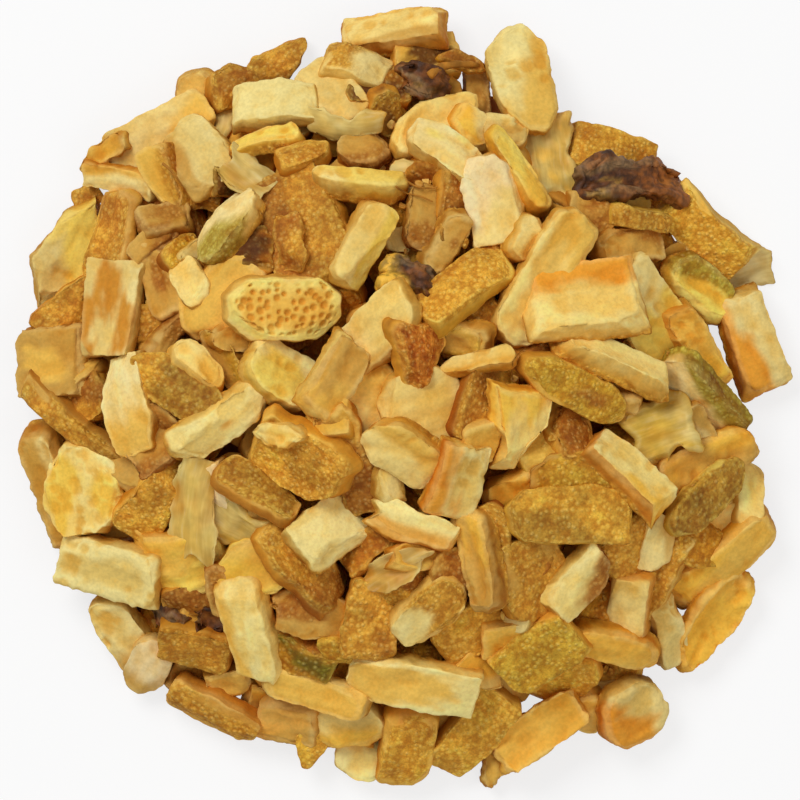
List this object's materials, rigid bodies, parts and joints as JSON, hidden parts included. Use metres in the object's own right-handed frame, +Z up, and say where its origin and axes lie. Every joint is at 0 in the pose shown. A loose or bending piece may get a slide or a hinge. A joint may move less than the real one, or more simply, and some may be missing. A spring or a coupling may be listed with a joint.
{
  "type": "heap of dried cut orange peel",
  "caption": "Low round heap of dried, cut orange peel granules: small uneven slabs of pitted rind and pale pith, lying as tipped out.",
  "frame": {"origin": "bottom centre of the heap's bounding box, on its flat base", "axes": "+Z up; +Y is the top of the heap as seen from above, +X its right"},
  "size_m": [0.0914, 0.093, 0.023],
  "materials": {
    "dried_peel": "dull dried citrus peel: cream to golden pith, pitted golden-brown rind, a few charred and green-edged bits"
  },
  "bodies": {
    "root": {"peel_heap": "dried_peel"}
  },
  "joints": []
}
